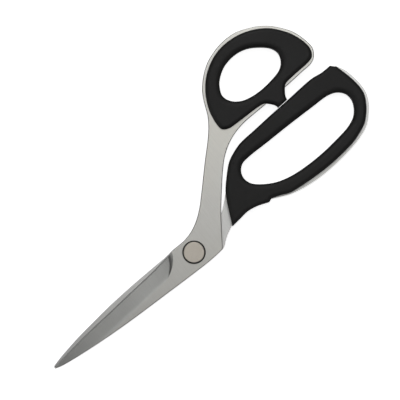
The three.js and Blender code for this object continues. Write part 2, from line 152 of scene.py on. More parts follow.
def node_loops(node, height):
    """Closed loops of a CAD node's edges at one height, in millimetres, the largest first."""
    mesh = nodes[node].data
    level = round(height * MM / SAME_PLACE)
    flats = {}
    for face in mesh.polygons:
        is_flat = abs(face.normal.z) > LEVEL_NORMAL
        corners = [tuple(round(c / SAME_PLACE) for c in mesh.vertices[v].co) for v in face.vertices]
        for a, b in zip(corners, corners[1:] + corners[:1]):
            if a != b and max(abs(a[2] - level), abs(b[2] - level)) < LEVEL_TOLERANCE:
                flats.setdefault(frozenset((a, b)), []).append(is_flat)
    beside = {}
    for edge, sides in flats.items():
        if not all(sides):
            a, b = edge
            beside.setdefault(a, []).append(b)
            beside.setdefault(b, []).append(a)
    loops = []
    while beside:
        start = min(beside)
        loop = [start]
        here = beside[start][0]
        while here != start:
            loop.append(here)
            here = next(p for p in beside[here] if p != loop[-2])
        for p in loop:
            del beside[p]
        loops.append(np.array(loop, float)[:, :2] * SAME_PLACE / MM)
    loops.sort(key=lambda p: -abs(area(p)))
    return [p if (area(p) > 0) == (i == 0) else p[::-1] for i, p in enumerate(loops)]


def area(loop):
    """Area of a closed loop, above zero where it runs counter-clockwise."""
    following = np.roll(loop, -1, axis=0)
    return 0.5 * np.sum(loop[:, 0] * following[:, 1] - following[:, 0] * loop[:, 1])


def turns(loop):
    """Angle by which a closed loop turns at each of its points."""
    along = np.roll(loop, -1, axis=0) - loop
    heading = np.arctan2(along[:, 1], along[:, 0])
    turn = heading - np.roll(heading, 1)
    return (turn + math.pi) % (2 * math.pi) - math.pi


def curve_through(points, closed, step):
    """Points about a step apart on the centripetal Catmull-Rom curve through the given ones."""
    if closed:
        knots = np.vstack([points[-1:], points, points[:2]])
    else:
        knots = np.vstack([2 * points[:1] - points[1:2], points, 2 * points[-1:] - points[-2:-1]])
    out = []
    for p0, p1, p2, p3 in zip(knots, knots[1:], knots[2:], knots[3:]):
        t = np.cumsum([0] + [np.linalg.norm(b - a) ** 0.5 for a, b in ((p0, p1), (p1, p2), (p2, p3))])
        count = max(1, math.ceil(np.linalg.norm(p2 - p1) / step))
        s = t[1] + (t[2] - t[1]) * np.arange(count)[:, None] / count
        a1 = ((t[1] - s) * p0 + s * p1) / t[1]
        a2 = ((t[2] - s) * p1 + (s - t[1]) * p2) / (t[2] - t[1])
        a3 = ((t[3] - s) * p2 + (s - t[2]) * p3) / (t[3] - t[2])
        b1 = ((t[2] - s) * a1 + s * a2) / t[2]
        b2 = ((t[3] - s) * a2 + (s - t[1]) * a3) / (t[3] - t[1])
        out.append(((t[2] - s) * b1 + (s - t[1]) * b2) / (t[2] - t[1]))
    return np.vstack(out)


def smooth_loop(loop, step=OUTLINE_STEP):
    """A closed loop made smooth between its corners: its points, and which of them are corners."""
    corners = np.flatnonzero(np.abs(turns(loop)) > CORNER)
    low, high = loop.min(axis=0), loop.max(axis=0)
    if len(corners) == 0:
        points = curve_through(loop, True, step)
        return np.clip(points, low, high), np.zeros(len(points), bool)
    points, is_corner = [], []
    for a, b in zip(corners, np.append(corners[1:], corners[0] + len(loop))):
        run = loop[np.arange(a, b + 1) % len(loop)]
        smooth = curve_through(run, False, step)
        points.append(smooth)
        is_corner.append(np.arange(len(smooth)) == 0)
    return np.clip(np.vstack(points), low, high), np.concatenate(is_corner)


def outward(loop):
    """Outward normal of each edge of a loop that has the solid on its left, edge i starting at point i."""
    along = np.roll(loop, -1, axis=0) - loop
    along /= np.linalg.norm(along, axis=1, keepdims=True)
    return np.column_stack([along[:, 1], -along[:, 0]])


def inset(loop, distance):
    """The loop moved into the solid by a distance."""
    after = outward(loop)
    before = np.roll(after, 1, axis=0)
    middle = before + after
    middle /= np.linalg.norm(middle, axis=1, keepdims=True)
    mitre = np.maximum(MITRE_LIMIT, np.sum(middle * after, axis=1, keepdims=True))
    return loop - middle * distance / mitre


def nearest(points, starts, ends):
    """Distance from each point to the nearest of the segments, and the direction away from it."""
    best = np.full(len(points), np.inf)
    away = np.zeros((len(points), 2))
    for low in range(0, len(points), CHUNK):
        chunk = slice(low, low + CHUNK)
        p = points[chunk, None, :]
        along = (ends - starts)[None]
        t = np.sum((p - starts[None]) * along, axis=2) / np.sum(along * along, axis=2)
        gap = p - (starts[None] + np.clip(t, 0, 1)[..., None] * along)
        length = np.linalg.norm(gap, axis=2)
        pick = np.argmin(length, axis=1)
        rows = np.arange(len(pick))
        best[chunk] = length[rows, pick]
        away[chunk] = gap[rows, pick] / np.maximum(length[rows, pick], NO_LENGTH)[:, None]
    return best, away


def inside(points, loops):
    """Which points lie in the solid that the loops bound."""
    hits = np.zeros(len(points), int)
    for loop in loops:
        a, b = loop, np.roll(loop, -1, axis=0)
        for low in range(0, len(points), CHUNK):
            chunk = slice(low, low + CHUNK)
            x = points[chunk, 0, None]
            y = points[chunk, 1, None]
            spans = (a[:, 1] > y) != (b[:, 1] > y)
            rise = np.where(b[:, 1] == a[:, 1], 1, b[:, 1] - a[:, 1])
            crossing = a[:, 0] + (y - a[:, 1]) * (b[:, 0] - a[:, 0]) / rise
            hits[chunk] += np.sum(spans & (x < crossing), axis=1)
    return hits % 2 == 1


# ---------------------------------------------------------------- meshes

def triangulate(loops, rings, lines, loose):
    """Triangles of the region inside the loops. Rings and lines become edges, loose points vertices."""
    points, edges = [], []
    count = 0
    for line, closed in [(p, True) for p in loops] + [(p, False) for p in rings + lines]:
        points.append(line)
        span = len(line) if closed else len(line) - 1
        edges += [(count + i, count + (i + 1) % len(line)) for i in range(span)]
        count += len(line)
    points.append(loose)
    flat = [Vector(p) for p in np.vstack(points)]
    vertices, _, faces, _, _, _ = delaunay_2d_cdt(flat, edges, [], 0, TRIANGLE_TOLERANCE)
    vertices = np.array([tuple(v) for v in vertices])
    faces = np.array([f if area(vertices[list(f)]) > 0 else f[::-1] for f in faces])
    keep = inside(vertices[faces].mean(axis=1), loops)
    faces = faces[keep]
    used = np.unique(faces)
    renumber = np.full(len(vertices), -1)
    renumber[used] = np.arange(len(used))
    return vertices[used], renumber[faces]


def kept_runs(ring, keep):
    """The stretches of a closed ring in which every point is kept."""
    if keep.all():
        return [np.vstack([ring, ring[:1]])]
    first = int(np.flatnonzero(~keep)[0])
    ring, keep = np.roll(ring, -first, axis=0), np.roll(keep, -first)
    runs, run = [], []
    for point, kept in zip(ring, keep):
        if kept:
            run.append(point)
        elif run:
            runs.append(np.array(run))
            run = []
    if run:
        runs.append(np.array(run))
    return [r for r in runs if len(r) > 1]


def flat_grid(loops, spacing):
    """A triangular grid of points over the loops' box."""
    low, high = loops[0].min(axis=0), loops[0].max(axis=0)
    rows = np.arange(low[1], high[1], spacing * math.sqrt(3) / 2)
    points = []
    for i, y in enumerate(rows):
        x = np.arange(low[0] + (i % 2) * spacing / 2, high[0], spacing)
        points.append(np.column_stack([x, np.full(len(x), y)]))
    return np.vstack(points)


def circle(radius, x=0.0):
    angles = 2 * math.pi * np.arange(TURNED_SEGMENTS) / TURNED_SEGMENTS
    return np.column_stack([x + radius * np.cos(angles), radius * np.sin(angles)])


def profile_steps(corners, closed):
    """Short steps along a profile with rounded corners: start, end, and the normal at each of them."""
    places = [np.array(c[:2], float) for c in corners]
    legs = list(zip(places, places[1:] + places[:1]))[:len(places) if closed else -1]
    ways = [(b - a) / np.linalg.norm(b - a) for a, b in legs]
    normals = [np.array([d[1], -d[0]]) for d in ways]
    cut = [0.0] * len(places)
    arcs = {}
    for at in range(0 if closed else 1, len(legs)):
        radius = corners[at][2] if len(corners[at]) > 2 else 0
        if radius:
            before, after = normals[at - 1], normals[at]
            turn = math.acos(float(np.clip(before @ after, -1, 1)))
            cut[at] = radius * math.tan(turn / 2)
            centre = places[at] - ways[at - 1] * cut[at] - before * radius
            shares = np.linspace(0, 1, ROUND_STEPS + 1)
            fan = [(math.sin((1 - t) * turn) * before + math.sin(t * turn) * after) / math.sin(turn)
                   for t in shares]
            arcs[at] = [(centre + radius * n, n) for n in fan]
    steps = []
    for at, ((a, b), way, normal) in enumerate(zip(legs, ways, normals)):
        if at in arcs:
            steps += [(p, q, n, m) for (p, n), (q, m) in zip(arcs[at], arcs[at][1:])]
        end = (at + 1) % len(places)
        steps.append((a + way * cut[at], b - way * cut[end], normal, normal))
    return steps


class Shell:
    """A mesh as it is put together: vertices in millimetres, faces, and a normal for each face corner."""

    def __init__(self):
        self.vertices, self.faces, self.normals, self.finishes = [], [], [], []
        self.count = 0

    def add(self, vertices, faces, normals, finish=0):
        """Faces index the new vertices. Normals go one to each face corner. finish picks their material."""
        vertices = np.asarray(vertices, float)
        self.vertices.append(vertices)
        self.faces += [[int(v) + self.count for v in f] for f in faces]
        self.normals.append(np.asarray(normals, float).reshape(-1, 3))
        self.finishes += np.broadcast_to(finish, len(faces)).tolist()
        self.count += len(vertices)

    def wall(self, loop, corner, low, high):
        """A band of upright faces along a closed loop, between two heights for each point."""
        n = len(loop)
        edge = outward(loop)
        before = np.roll(edge, 1, axis=0)
        soft = before + edge
        soft /= np.linalg.norm(soft, axis=1, keepdims=True)
        start = np.where(corner[:, None], edge, soft)
        end = np.roll(np.where(corner[:, None], before, soft), -1, axis=0)
        start = np.column_stack([start, np.zeros(n)])
        end = np.column_stack([end, np.zeros(n)])
        lower = np.column_stack([loop, np.broadcast_to(low, n)])
        upper = np.column_stack([loop, np.broadcast_to(high, n)])
        i = np.arange(n)
        j = (i + 1) % n
        faces = np.column_stack([i, j, j + n, i + n])
        normals = np.stack([start, end, end, start], axis=1)
        self.add(np.vstack([lower, upper]), faces, normals)

    def cap(self, loops, height, facing):
        """A flat face inside the loops, looking up where facing is 1 and down where it is -1."""
        points, faces = triangulate(loops, [], [], np.zeros((0, 2)))
        faces = faces if facing > 0 else faces[:, ::-1]
        normals = np.tile([0, 0, facing], (3 * len(faces), 1))
        self.add(np.column_stack([points, np.full(len(points), height)]), faces, normals)

    def turned(self, corners, closed=False):
        """A body of revolution about Z through (radius, height, rounding) corners, solid on their left."""
        angles = 2 * math.pi * np.arange(TURNED_SEGMENTS) / TURNED_SEGMENTS
        c, s = np.cos(angles), np.sin(angles)
        i = np.arange(TURNED_SEGMENTS)
        j = (i + 1) % TURNED_SEGMENTS
        for (r0, z0), (r1, z1), normal0, normal1 in profile_steps(corners, closed):
            start, end, n0, n1 = (
                np.column_stack([r * c, r * s, np.full(len(c), z)])
                for r, z in ((r0, z0), (r1, z1), normal0, normal1)
            )
            if r0 < TOLERANCE:
                faces, normals = [i, j + len(i), i + len(i)], [n0[i], n1[j], n1[i]]
            elif r1 < TOLERANCE:
                faces, normals = [i, j, i + len(i)], [n0[i], n0[j], n1[i]]
            else:
                faces = [i, j, j + len(i), i + len(i)]
                normals = [n0[i], n0[j], n1[j], n1[i]]
            self.add(np.vstack([start, end]), np.column_stack(faces), np.stack(normals, axis=1))

    def make(self, name, *materials):
        """The Blender object, in metres."""
        mesh = bpy.data.meshes.new(name)
        vertices = np.vstack(self.vertices) * MM
        mesh.from_pydata([tuple(v) for v in vertices], [], self.faces)
        mesh.polygons.foreach_set("use_smooth", [True] * len(mesh.polygons))
        normals = np.vstack(self.normals)
        normals /= np.linalg.norm(normals, axis=1, keepdims=True)
        mesh.normals_split_custom_set([tuple(n) for n in normals])
        for material in materials:
            mesh.materials.append(material)
        mesh.polygons.foreach_set("material_index", self.finishes)
        merge_close(mesh)
        piece = bpy.data.objects.new(name, mesh)
        bpy.context.scene.collection.objects.link(piece)
        return piece


def merge_close(mesh):
    """Joins vertices that lie on each other, and keeps the normals of the face corners."""
    corner_normals = [tuple(n.vector) for n in mesh.corner_normals]
    work = bmesh.new()
    work.from_mesh(mesh)
    bmesh.ops.remove_doubles(work, verts=work.verts, dist=SAME_PLACE)
    work.to_mesh(mesh)
    work.free()
    if len(mesh.loops) == len(corner_normals):
        mesh.normals_split_custom_set(corner_normals)


# ---------------------------------------------------------------- steel halves

class SteelHalf:
    """One half, flat on its ride face, rounded along its outer edges and ground to a cutting edge."""

    def __init__(self, node, side):
        self.side = side  # 1: ground from above at its +Y edge, -1: from below at its -Y edge
        low, high = node_box(node)
        self.thickness = high[2] - low[2]
        self.ride = low[2] if side > 0 else high[2]
        loops = node_loops(node, self.ride)
        smooth = [smooth_loop(p) for p in loops]
        self.loops = [s[0] for s in smooth]
        self.corners = [s[1] for s in smooth]
        self.find_edge()

    def find_edge(self):
        """The cutting edge, from the point to the choil, and the rest of the boundary as segments."""
        outer = self.loops[0]
        n = len(outer)
        tip = int(np.argmin(outer[:, 0]))
        way = -self.side
        if self.side < 0:
            following = np.arange(tip + 1, tip + POINT_SEARCH) % n
            tip += int(np.argmax(self.corners[0][following])) + 1
        steps = np.arange(n)
        order = (tip + way * steps) % n
        stop = int(np.argmax(outer[order, 0] > CHOIL_X))
        run = order[:stop + 1]
        self.edge = outer[run][np.argsort(outer[run, 0])]
        on_edge = np.zeros(n, bool)
        segments = run[:-1] if way > 0 else run[1:]
        on_edge[segments] = True
        starts = [outer[~on_edge]]
        ends = [np.roll(outer, -1, axis=0)[~on_edge]]
        for hole in self.loops[1:]:
            if abs(area(hole)) > BOW_AREA:
                starts.append(hole)
                ends.append(np.roll(hole, -1, axis=0))
        self.starts, self.ends = np.vstack(starts), np.vstack(ends)

    def from_edge(self, points):
        """Distance from the cutting edge, across the blade."""
        return self.side * (np.interp(points[:, 0], self.edge[:, 0], self.edge[:, 1]) - points[:, 1])

    def bevelled(self, wide):
        """Metal left above the ride face at a distance from the cutting edge."""
        bevel_start = EDGE_LAND + EDGE_BEVEL_RISE
        bevel_width = (self.thickness - bevel_start) / BLADE_BEVEL_SLOPE
        short = EDGE_BEVEL_WIDTH + bevel_width - wide
        blend = np.maximum(short + BLADE_BEVEL_BLEND, 0)
        soft = self.thickness - BLADE_BEVEL_SLOPE * blend ** 2 / (4 * BLADE_BEVEL_BLEND)
        main = np.where(short > BLADE_BEVEL_BLEND, self.thickness - BLADE_BEVEL_SLOPE * short, soft)
        fine = EDGE_LAND + EDGE_BEVEL_RISE * np.maximum(wide, 0) / EDGE_BEVEL_WIDTH
        return np.where(wide < EDGE_BEVEL_WIDTH, fine, main)

    def ground(self, points):
        """The same, with the rounded corner that the wheel leaves where it stops."""
        wide = self.from_edge(points)
        sweep = np.hypot(1, 2 * RUN_OUT_CURVE * wide)
        from_side = (RUN_OUT_X - RUN_OUT_CURVE * wide ** 2 - points[:, 0]) / sweep
        r = WHEEL_CORNER_ROUND
        inward = np.clip(r - from_side, 0, r)
        corner = r - np.sqrt(r * r - inward ** 2) + self.thickness * (from_side < 0)
        return self.bevelled(wide) + corner

    def height(self, points):
        """Metal above the ride face: flat or ground, with its outer edges rounded."""
        gap, _ = nearest(points, self.starts, self.ends)
        return np.minimum(self.thickness, self.ground(points)) - self.drop(gap)

    def drop(self, gap):
        """How far the rounded edge lies below the face, at a distance from the boundary."""
        r = STEEL_EDGE_ROUND
        inward = np.clip(r - gap, 0, r)
        return r - np.sqrt(np.maximum(r * r - inward ** 2, 0))

    def slope(self, points):
        """Gradient of the height."""
        gap, away = nearest(points, self.starts, self.ends)
        step = 1e-4
        grads = []
        for move in ((step, 0), (0, step)):
            up = np.minimum(self.thickness, self.ground(points + move))
            down = np.minimum(self.thickness, self.ground(points - move))
            grads.append((up - down) / (2 * step))
        r = STEEL_EDGE_ROUND
        inward = np.clip(r - gap, 0, r * STEEPEST)
        steep = inward / np.sqrt(r * r - inward ** 2)
        return np.column_stack(grads) + away * steep[:, None]

    def beside_edge(self, x, wide):
        """Points at places along the blade and at distances from the cutting edge."""
        return np.column_stack([x, np.interp(x, self.edge[:, 0], self.edge[:, 1]) - self.side * wide])

    def beside_wheel(self, wide, from_side):
        """Points at distances from the cutting edge and from the side of the wheel."""
        x = RUN_OUT_X - RUN_OUT_CURVE * wide ** 2 - from_side * np.hypot(1, 2 * RUN_OUT_CURVE * wide)
        return self.beside_edge(x, wide)

    def honed_line(self):
        """The border between the honed edge and the main bevel."""
        x = self.edge[:, 0]
        x = x[(x < CHOIL_X - HONED_TO_CHOIL) & (x > x[0] + HONED_FROM_POINT)]
        return self.beside_edge(x, EDGE_BEVEL_WIDTH)

    def run_out_lines(self):
        """The line where the wheel's corner meets the flat face, and lines along the corner below it."""
        r = WHEEL_CORNER_ROUND
        depth = self.thickness - self.bevelled(RUN_OUT_ROWS)
        crease = r - np.sqrt(r * r - (r - depth) ** 2)
        lines = [self.beside_wheel(RUN_OUT_ROWS, crease)]
        for from_side in WHEEL_CORNER_LINES:
            below = crease < from_side - RUN_OUT_GAP
            if below.sum() > 1:
                lines.append(self.beside_wheel(RUN_OUT_ROWS[below], np.full(below.sum(), from_side)))
        return lines

    def round_rings(self, starts, ends):
        """Rings of vertices along the rounded edges, away from the honed edge."""
        steps = [STEEL_EDGE_ROUND * (1 - math.cos(math.radians(a))) for a in STEEL_ROUND_ANGLES]
        rings = []
        for distance in steps + [STEEL_EDGE_ROUND + STEEL_RING_BEYOND]:
            for loop in self.loops:
                ring = inset(loop, distance)
                gap, _ = nearest(ring, starts, ends)
                far = self.from_edge(ring) > EDGE_BEVEL_WIDTH + HONED_MARGIN
                clear = (gap > distance * STEEL_RING_REACH) & inside(ring, self.loops)
                rings += kept_runs(ring, clear & (far | (ring[:, 0] > CHOIL_X)))
        return rings

    def loose_points(self, starts, ends):
        """Vertices on the face between the rings: a coarse grid, and rows along the bevel."""
        points = [flat_grid(self.loops, FLAT_GRID)]
        for wide in BEVEL_ROWS:
            stop = self.beside_wheel(np.array([wide]), WHEEL_CORNER_ROUND)[0, 0] - BEVEL_ROW_GAP
            points.append(self.beside_edge(np.arange(BEVEL_FROM_X, stop, BEVEL_COLUMN_STEP), wide))
        points = np.vstack(points)
        gap, _ = nearest(points, starts, ends)
        round_gap, _ = nearest(points, self.starts, self.ends)
        ground = self.ground(points) < self.thickness
        on_bevel = ground & (gap > BEVEL_EDGE_GAP) & (round_gap > STEEL_EDGE_ROUND + BEVEL_LOOSE_GAP)
        return points[inside(points, self.loops) & ((gap > STEEL_EDGE_ROUND + LOOSE_GAP) | on_bevel)]

    def top_mesh(self):
        """Triangles of the outer face, seen from above."""
        starts = np.vstack(self.loops)
        ends = np.vstack([np.roll(p, -1, axis=0) for p in self.loops])
        lines = [self.honed_line()] + self.run_out_lines()
        return triangulate(self.loops, self.round_rings(starts, ends), lines, self.loose_points(starts, ends))

    def make(self, name, *finishes):
        """The finishes are those of the flat face, the ride face, the main bevel and the honed edge. The
        honed edge's lighter colour is a painted highlight.
        """
        shell = Shell()
        points, faces = self.top_mesh()
        z = self.ride + self.side * self.height(points)
        near = points[faces]
        centre = near.mean(axis=1, keepdims=True)
        grad = self.slope((near + NORMAL_INSET * (centre - near)).reshape(-1, 2))
        normals = np.column_stack([-grad, np.full(len(grad), self.side)])
        if self.side < 0:
            faces = faces[:, ::-1]
            normals = normals.reshape(-1, 3, 3)[:, ::-1].reshape(-1, 3)
        bevel = self.ground(centre[:, 0]) < self.thickness - GROUND_DEPTH
        # Honed faces take the honed steel: a rougher honed finish, with a painted highlight in its lighter
        # colour.
        honed = bevel & (self.from_edge(centre[:, 0]) < EDGE_BEVEL_WIDTH)
        finish = np.where(honed, HONED_FINISH_AND_HIGHLIGHT, np.where(bevel, BEVEL_FINISH, FLAT_FINISH))
        shell.add(np.column_stack([points, z]), faces, normals, finish)
        flat, flat_faces = triangulate(self.loops, [], [], np.zeros((0, 2)))
        if self.side > 0:
            flat_faces = flat_faces[:, ::-1]
        under = np.tile([0, 0, -self.side], (3 * len(flat_faces), 1))
        shell.add(np.column_stack([flat, np.full(len(flat), self.ride)]), flat_faces, under, RIDE_FINISH)
        for loop, corner in zip(self.loops, self.corners):
            outer = self.ride + self.side * self.height(loop)
            low, high = (self.ride, outer) if self.side > 0 else (outer, self.ride)
            shell.wall(loop, corner, low, high)
        return shell.make(name, *finishes)


# ---------------------------------------------------------------- grips

class Grip:
    """A moulding with rounded edges, softer round the finger opening than along the outside."""

    def __init__(self, node):
        low, high = node_box(node)
        self.bottom, self.top = low[2], high[2]
        smooth = [smooth_loop(p, GRIP_OUTLINE_STEP) for p in node_loops(node, self.top - GRIP_CAD_ROUND)]
        self.loops = [s[0] for s in smooth]
        self.corners = [s[1] for s in smooth]
        self.rounds = [GRIP_OUTER_ROUND, GRIP_INNER_ROUND]

    def fall(self, points, wanted_slope=False):
        """How far the face lies below the highest level, or its gradient."""
        total = np.zeros((len(points), 2)) if wanted_slope else np.zeros(len(points))
        for loop, (width, height) in zip(self.loops, self.rounds):
            gap, away = nearest(points, loop, np.roll(loop, -1, axis=0))
            u = np.clip(1 - gap / width, 0, STEEPEST if wanted_slope else 1)
            if wanted_slope:
                total += away * (-height / width * u / np.sqrt(1 - u * u))[:, None]
            else:
                total += height * (1 - np.sqrt(1 - u * u))
        return total

    def face_mesh(self):
        """Triangles of the upper face, seen from above."""
        starts = np.vstack(self.loops)
        ends = np.vstack([np.roll(p, -1, axis=0) for p in self.loops])
        rings = []
        for loop, (width, _) in zip(self.loops, self.rounds):
            shares = [1 - math.cos(math.radians(a)) for a in GRIP_ROUND_ANGLES]
            for distance in [width * s for s in shares] + [width + GRIP_RING_BEYOND]:
                ring = inset(loop, distance)
                gap, _ = nearest(ring, starts, ends)
                rings += kept_runs(ring, (gap > distance * GRIP_RING_REACH) & inside(ring, self.loops))
        loose = flat_grid(self.loops, GRIP_GRID)
        keep = inside(loose, self.loops)
        for loop, (width, _) in zip(self.loops, self.rounds):
            gap, _ = nearest(loose, loop, np.roll(loop, -1, axis=0))
            keep &= gap > width + GRIP_LOOSE_GAP
        return triangulate(self.loops, rings, [], loose[keep])

    def make(self, name, material):
        shell = Shell()
        points, faces = self.face_mesh()
        fall = self.fall(points)
        near = points[faces]
        centre = near.mean(axis=1, keepdims=True)
        slope = self.fall((near + NORMAL_INSET * (centre - near)).reshape(-1, 2), wanted_slope=True)
        up = np.column_stack([slope, np.ones(len(slope))])
        down = np.column_stack([slope, -np.ones(len(slope))]).reshape(-1, 3, 3)[:, ::-1].reshape(-1, 3)
        shell.add(np.column_stack([points, self.top - fall]), faces, up)
        shell.add(np.column_stack([points, self.bottom + fall]), faces[:, ::-1], down)
        for loop, corner in zip(self.loops, self.corners):
            edge = self.fall(loop)
            shell.wall(loop, corner, self.bottom + edge, self.top - edge)
        return shell.make(name, material)


# ---------------------------------------------------------------- pivot

def make_screw(node, material):
    low, high = node_box(node)
    under_head = high[2] - HEAD_THICKNESS
    shell = Shell()
    shell.turned([
        (0, low[2]),
        (SCREW_RADIUS - SCREW_END_CHAMFER, low[2]),
        (SCREW_RADIUS, low[2] + SCREW_END_CHAMFER),
        (SCREW_RADIUS, under_head),
        (HEAD_RADIUS, under_head, WASHER_ROUND),
        (HEAD_RADIUS, high[2], HEAD_ROUND),
        (0, high[2]),
    ])
    return shell.make(node + "_turned", material)


def make_head_washer(node, material):
    low, high = node_box(node)
    shell = Shell()
    shell.turned([
        (SCREW_HOLE_RADIUS, low[2]),
        (high[0], low[2], WASHER_ROUND),
        (high[0], high[2], WASHER_ROUND),
        (SCREW_HOLE_RADIUS, high[2]),
    ], closed=True)
    return shell.make(node + "_ring", material)


def make_spring_washer(node, inner, material):
    low, high = node_box(node)
    shell = Shell()
    shell.turned([
        (inner, high[2] - SPRING_WASHER_THICKNESS),
        (high[0], low[2], WASHER_ROUND),
        (high[0], low[2] + SPRING_WASHER_THICKNESS, WASHER_ROUND),
        (inner, high[2]),
    ], closed=True)
    return shell.make(node + "_dished", material)


def flatted_circle(radius, flat):
    """A circle with two flats parallel to X, and which of its points are corners."""
    reach = math.asin(flat / radius)
    arc = np.linspace(-reach, reach, KEY_ARC_POINTS)
    angles = np.concatenate([arc, arc + math.pi])
    corner = np.isin(np.arange(len(angles)) % KEY_ARC_POINTS, (0, KEY_ARC_POINTS - 1))
    return np.column_stack([radius * np.cos(angles), radius * np.sin(angles)]), corner


def make_nut(node, shoulder, material):
    """Flange with two spanner holes, and the sleeve that carries the finger half and keys the thumb half."""
    low, high = node_box(node)
    radius, top = high[0], high[2]
    rim = radius - NUT_ROUND - NUT_FACE_MARGIN
    smooth = np.zeros(TURNED_SEGMENTS, bool)
    shell = Shell()
    holes = [circle(SPANNER_HOLE_RADIUS, side * SPANNER_HOLE_PLACE)[::-1] for side in (-1, 1)]
    shell.cap([circle(rim)] + holes, low[2], -1)
    for hole in holes:
        shell.wall(hole, smooth, low[2], low[2] + SPANNER_HOLE_DEPTH)
        shell.cap([hole[::-1]], low[2] + SPANNER_HOLE_DEPTH, -1)
    shell.turned([
        (rim, low[2]),
        (radius, low[2], NUT_ROUND),
        (radius, low[2] + NUT_THICKNESS, WASHER_ROUND),
        (JOURNAL_RADIUS, low[2] + NUT_THICKNESS),
        (JOURNAL_RADIUS, shoulder),
    ])
    key, corner = flatted_circle(JOURNAL_RADIUS, JOURNAL_FLAT)
    bore = circle(SCREW_HOLE_RADIUS)
    round_sleeve = circle(JOURNAL_RADIUS)
    for side in (-1, 1):
        beyond = round_sleeve[side * round_sleeve[:, 1] > JOURNAL_FLAT]
        flat = key[side * key[:, 1] > JOURNAL_FLAT - TOLERANCE]
        start, end = flat[flat[:, 0] * side > 0], flat[flat[:, 0] * side < 0]
        shell.cap([np.vstack([start, beyond, end])], shoulder, 1)
    shell.wall(key, corner, shoulder, top)
    shell.cap([key, bore[::-1]], top, 1)
    shell.wall(bore[::-1], smooth, low[2] + NUT_FLOOR, top)
    shell.cap([bore], low[2] + NUT_FLOOR, 1)
    return shell.make(node + "_turned", material)


# ---------------------------------------------------------------- materials

GRAIN_SCALE = (2600, 160, 400)  # noise cells to the metre along each axis, so the lines lie along Y
DARK_SHARE = 0.88  # how light the darkest places of a steel are, against its plain colour


class Paint:
    """A node material with a Principled shader, and short ways to add the usual nodes."""

    def __init__(self, name):
        self.material = bpy.data.materials.new(name)
        self.material.use_nodes = True
        self.tree = self.material.node_tree
        self.shader = self.tree.nodes["Principled BSDF"]
        self.place = self.node("ShaderNodeTexCoord").outputs["Object"]

    def node(self, kind, **settings):
        made = self.tree.nodes.new(kind)
        for key, value in settings.items():
            if hasattr(made, key):
                setattr(made, key, value)
            else:
                made.inputs[key.replace("_", " ")].default_value = value
        return made

    def link(self, source, node, socket):
        self.tree.links.new(source, node.inputs[socket])

    def stretched(self, scale, turn=0.0):
        """The object's own coordinates in metres, scaled along each axis and then turned about Z."""
        mapping = self.node("ShaderNodeMapping")
        mapping.inputs["Rotation"].default_value = (0, 0, turn)
        mapping.inputs["Scale"].default_value = scale
        self.link(self.place, mapping, "Vector")
        return mapping.outputs["Vector"]

    def noise(self, scale, detail=2.0, roughness=0.5, vector=None):
        made = self.node("ShaderNodeTexNoise", Scale=scale, Detail=detail, Roughness=roughness)
        self.link(vector or self.place, made, "Vector")
        return made.outputs["Fac"]

    def ramp(self, source, low, high, to_low=0.0, to_high=1.0):
        """Maps low..high of a value to to_low..to_high."""
        made = self.node("ShaderNodeMapRange")
        made.inputs["From Min"].default_value = low
        made.inputs["From Max"].default_value = high
        made.inputs["To Min"].default_value = to_low
        made.inputs["To Max"].default_value = to_high
        self.link(source, made, "Value")
        return made.outputs["Result"]

    def blend(self, factor, a, b):
        """A colour between a and b."""
        made = self.node("ShaderNodeMix", data_type="RGBA")
        self.link(factor, made, 0)
        for socket, value in ((6, a), (7, b)):
            if isinstance(value, tuple):
                made.inputs[socket].default_value = (*value, 1)
            else:
                self.link(value, made, socket)
        return made.outputs[2]

    def math(self, operation, a, b):
        made = self.node("ShaderNodeMath", operation=operation)
        for socket, value in ((0, a), (1, b)):
            if isinstance(value, (int, float)):
                made.inputs[socket].default_value = value
            else:
                self.link(value, made, socket)
        return made.outputs[0]

    def bump(self, height, strength, distance):
        made = self.node("ShaderNodeBump", Strength=strength, Distance=distance)
        self.link(height, made, "Height")
        self.link(made.outputs["Normal"], self.shader, "Normal")

    def set(self, **values):
        for key, value in values.items():
            name = key.replace("_", " ")
            if isinstance(value, bpy.types.NodeSocket):
                self.link(value, self.shader, name)
            else:
                self.shader.inputs[name].default_value = (*value, 1) if isinstance(value, tuple) else value


def satin_steel(name, plain, warm, noise_turn, roughness=0.34):
    """Belt-ground steel with fine lines across the blade, a little warmer in some places than in others.

    noise_turn picks another stretch of the noise. It comes after the scaling and leaves the lines straight.
    """
    paint = Paint(name)
    lines = paint.noise(1.0, 4.0, 0.6, paint.stretched(GRAIN_SCALE, noise_turn))
    cloud = paint.noise(38, 4.0, 0.6)
    tint = paint.noise(21, 2.0, 0.5)
    tone = paint.math("ADD", paint.math("MULTIPLY", lines, 0.4), paint.math("MULTIPLY", cloud, 0.6))
    bright = paint.blend(paint.ramp(tint, 0.35, 0.65), plain, warm)
    dark = tuple(DARK_SHARE * (p + w) / 2 for p, w in zip(plain, warm))
    paint.set(
        Base_Color=paint.blend(paint.ramp(tone, 0.35, 0.65), dark, bright),
        Metallic=1.0,
        Roughness=paint.ramp(tone, 0.3, 0.7, roughness, roughness + 0.08),
    )
    paint.bump(lines, 0.08, 0.00005)
    return paint.material


def turned_steel(name, color, roughness=0.34):
    """Steel faced on a lathe: fine rings about the pivot axis."""
    paint = Paint(name)
    rings = paint.node(
        "ShaderNodeTexWave", wave_type="RINGS", rings_direction="Z", Scale=900.0, Distortion=1.2, Detail=2.0,
    ).outputs["Fac"]
    cloud = paint.noise(240, 3.0, 0.6)
    tone = paint.math("ADD", paint.math("MULTIPLY", rings, 0.3), paint.math("MULTIPLY", cloud, 0.7))
    dark = tuple(c * DARK_SHARE for c in color)
    paint.set(
        Base_Color=paint.blend(paint.ramp(tone, 0.25, 0.7), dark, color),
        Metallic=1.0,
        Roughness=paint.ramp(cloud, 0.3, 0.7, roughness - 0.04, roughness + 0.06),
    )
    paint.bump(rings, 0.05, 0.00003)
    return paint.material


